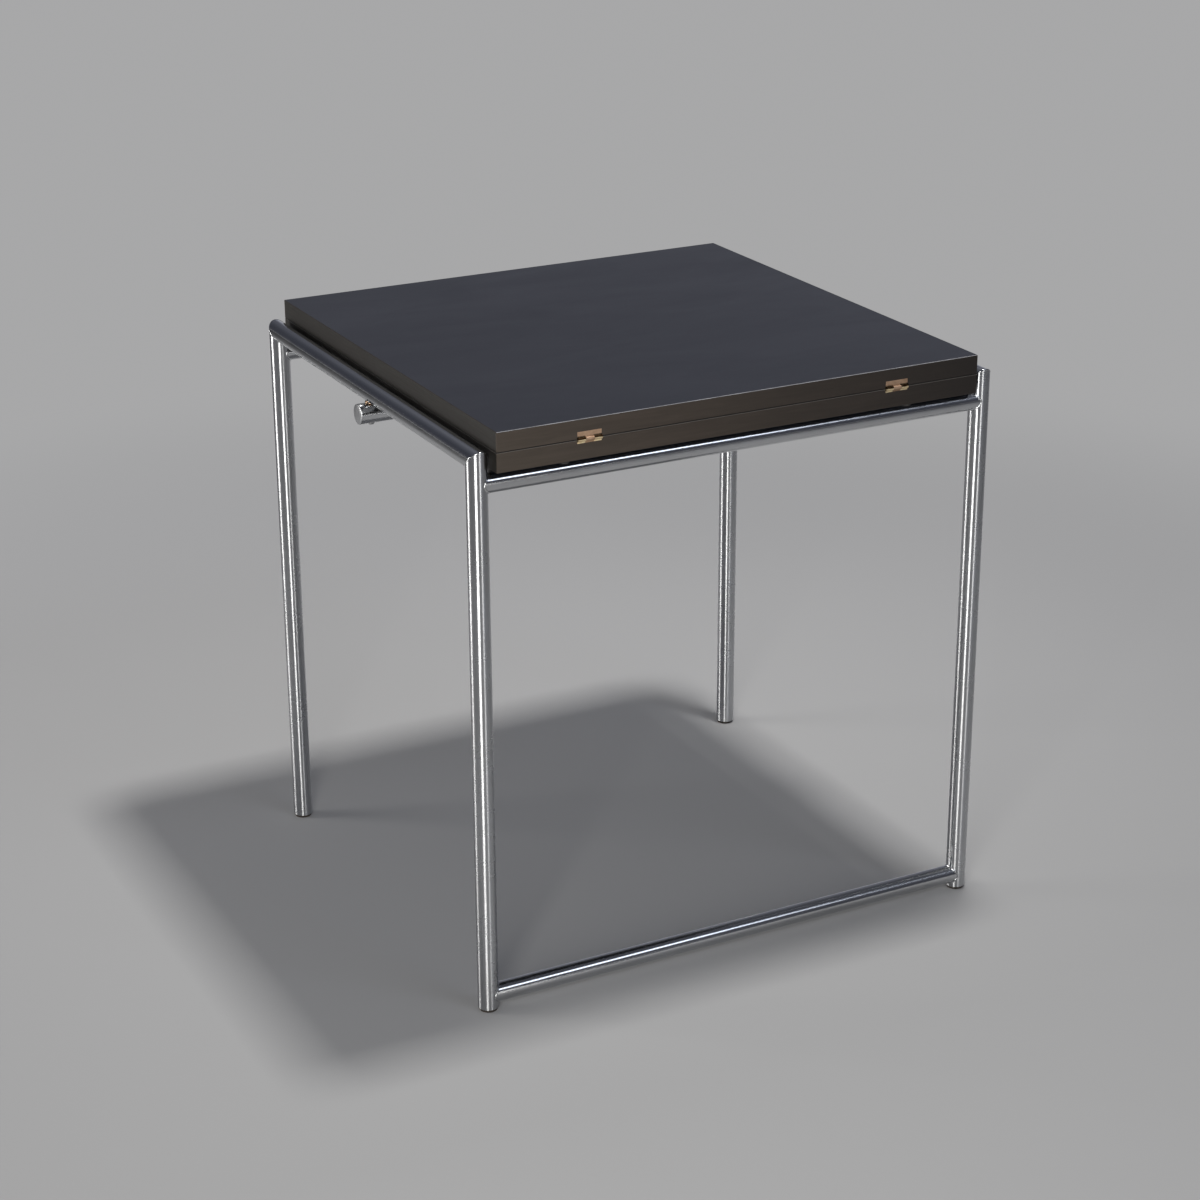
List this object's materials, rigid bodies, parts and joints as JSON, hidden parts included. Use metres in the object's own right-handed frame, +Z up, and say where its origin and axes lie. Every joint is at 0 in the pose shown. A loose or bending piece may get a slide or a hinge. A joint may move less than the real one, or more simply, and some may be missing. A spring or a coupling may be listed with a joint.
{
  "type": "flip top side table",
  "caption": "Square side table on a chromed tube frame whose hinged double top unfolds and slides back between the side rails to make a surface twice as large.",
  "frame": {"origin": "on the floor under the middle of the folded table", "axes": "+X to the right along the front rail, +Y from the hinged front edge to the back, +Z up from the floor"},
  "size_m": [0.648, 0.5868, 0.665],
  "materials": {
    "chromed_tube": "polished",
    "black_laminate": "satin",
    "dark_edge_band": "satin",
    "core_board": "matte",
    "hinge_brass": "satin",
    "brass_fixing": "satin",
    "steel_fixing": "satin",
    "black_nylon": "matte"
  },
  "bodies": {
    "frame": {"front_left_leg": "chromed_tube", "front_right_leg": "chromed_tube", "back_left_leg": "chromed_tube", "back_right_leg": "chromed_tube", "left_side_rail": "chromed_tube", "right_side_rail": "chromed_tube", "front_rail": "chromed_tube", "back_rail": "chromed_tube", "bottom_rail": "chromed_tube", "middle_bar": "chromed_tube", "bar_end_caps": "chromed_tube", "rail_inserts": "brass_fixing", "bar_washers": "brass_fixing", "bar_bolts": "steel_fixing", "foot_glides": "black_nylon", "rail_pads": "black_nylon", "bar_pads": "black_nylon"},
    "lower_top": {"lower_core": "core_board", "lower_inner_laminate": "black_laminate", "lower_outer_laminate": "black_laminate", "lower_front_band": "dark_edge_band", "lower_back_band": "dark_edge_band", "lower_side_bands": "dark_edge_band", "lower_hinge_plates": "hinge_brass", "lower_hinge_screws": "hinge_brass", "hinge_pins": "hinge_brass", "stop_pegs": "black_nylon", "stop_peg_screws": "steel_fixing"},
    "upper_top": {"upper_core": "core_board", "upper_inner_laminate": "black_laminate", "upper_outer_laminate": "black_laminate", "upper_front_band": "dark_edge_band", "upper_back_band": "dark_edge_band", "upper_side_bands": "dark_edge_band", "upper_hinge_plates": "hinge_brass", "upper_hinge_screws": "hinge_brass"}
  },
  "joints": [
    {"name": "top_slide", "type": "slide", "parent": "frame", "child": "lower_top", "axis": [0, 1, 0], "range_m": [0, 0.243]},
    {"name": "leaf_flip", "type": "hinge", "parent": "lower_top", "child": "upper_top", "pos_m": [0, -0.291, 0.643], "axis": [1, 0, 0], "range_deg": [0, 180]}
  ]
}
